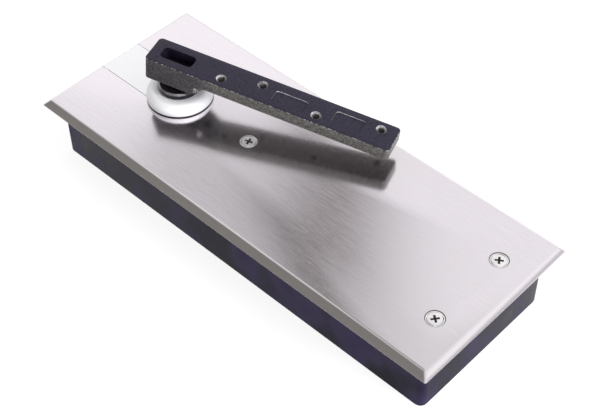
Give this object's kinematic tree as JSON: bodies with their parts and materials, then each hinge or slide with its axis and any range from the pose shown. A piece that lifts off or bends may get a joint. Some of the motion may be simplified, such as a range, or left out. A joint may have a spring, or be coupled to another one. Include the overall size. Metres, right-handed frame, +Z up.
{
  "type": "floor spring door closer",
  "caption": "Hydraulic floor spring in a steel case under a rimmed cover plate, with a cast door arm on its spindle.",
  "frame": {"origin": "under the middle of the cover plate, on the underside of the case", "axes": "+X along the plate away from the spindle, +Y to its far long edge, +Z up out of the floor"},
  "size_m": [0.34, 0.136, 0.0838],
  "materials": {
    "brushed_stainless": "brushed along its length",
    "insert_stainless": "fine satin",
    "polished_nickel": "polished",
    "case_paint": "dark navy, semi-gloss",
    "black_casting": "black, machined top and rough cast sides",
    "black_steel": "blackened steel",
    "zinc_plate": "zinc plated",
    "body_casting": "grey casting",
    "machined_steel": "machined",
    "bronze": "machined",
    "spring_steel": "dark, oiled",
    "seal_rubber": "matt",
    "brass": "machined"
  },
  "bodies": {
    "floor_box": {"cement_case": "case_paint", "screw_bridge": "machined_steel", "bridge_rivet_near": "zinc_plate", "bridge_rivet_back": "zinc_plate", "cover_plate": "brushed_stainless", "insert_plate": "insert_stainless", "insert_bridge": "machined_steel", "cover_screw_mid": "zinc_plate", "cover_screw_far_near": "zinc_plate", "cover_screw_far_back": "zinc_plate", "collar_ring": "polished_nickel", "closer_body": "body_casting", "upper_bush": "bronze", "lower_bush": "bronze", "spindle_seal": "seal_rubber", "front_plug": "machined_steel", "front_plug_seal": "seal_rubber", "rear_plug": "machined_steel", "rear_plug_seal": "seal_rubber", "body_screw_1": "zinc_plate", "body_screw_2": "zinc_plate", "body_screw_3": "zinc_plate", "body_screw_4": "zinc_plate", "filler_plug": "brass", "main_spring": "spring_steel"},
    "spindle_body": {"spindle": "black_steel"},
    "arm_body": {"arm": "black_casting", "arm_set_screw": "zinc_plate"},
    "piston_group": {"piston": "machined_steel", "piston_ring_front": "bronze", "piston_ring_rear": "bronze", "check_ball": "machined_steel", "check_retainer": "brass"},
    "sweep_valve_body": {"sweep_valve": "brass"},
    "latch_valve_body": {"latch_valve": "brass"},
    "adjuster_body": {"spring_adjuster": "machined_steel"},
    "spring_seat_body": {"spring_seat": "machined_steel"}
  },
  "joints": [
    {"name": "door_swing", "type": "hinge", "parent": "floor_box", "child": "spindle_body", "pos_m": [-0.104, 0, 0.05], "axis": [0, 0, -1], "range_deg": [0, 144], "stiffness_Nm_per_rad": 4, "springref_deg": -34.38},
    {"name": "arm_rock", "type": "hinge", "parent": "spindle_body", "child": "arm_body", "pos_m": [-0.104, 0, 0.0695], "axis": [0.3305, -0.9438, 0], "range_deg": [0, 5.9]},
    {"name": "piston_stroke", "type": "slide", "parent": "floor_box", "child": "piston_group", "axis": [1, 0, 0], "range_m": [0, 0.0227], "deforming": ["main_spring"]},
    {"name": "sweep_valve_turn", "type": "hinge", "parent": "floor_box", "child": "sweep_valve_body", "pos_m": [-0.146, -0.012, 0.042], "axis": [0, 0, -1], "range_deg": [-180, 360]},
    {"name": "latch_valve_turn", "type": "hinge", "parent": "floor_box", "child": "latch_valve_body", "pos_m": [-0.146, 0.012, 0.042], "axis": [0, 0, -1], "range_deg": [-180, 360]},
    {"name": "adjuster_turn", "type": "hinge", "parent": "floor_box", "child": "adjuster_body", "pos_m": [0.128, 0, 0.0225], "axis": [1, 0, 0], "range_deg": [0, 2160]},
    {"name": "seat_slide", "type": "slide", "parent": "floor_box", "child": "spring_seat_body", "axis": [-1, 0, 0], "range_m": [0, 0.009]}
  ],
  "couplings": [
    {"joint": "piston_stroke", "follows": "door_swing", "m_per_rad": 0.009},
    {"joint": "adjuster_turn", "follows": "seat_slide", "rad_per_m": 4188.8}
  ]
}
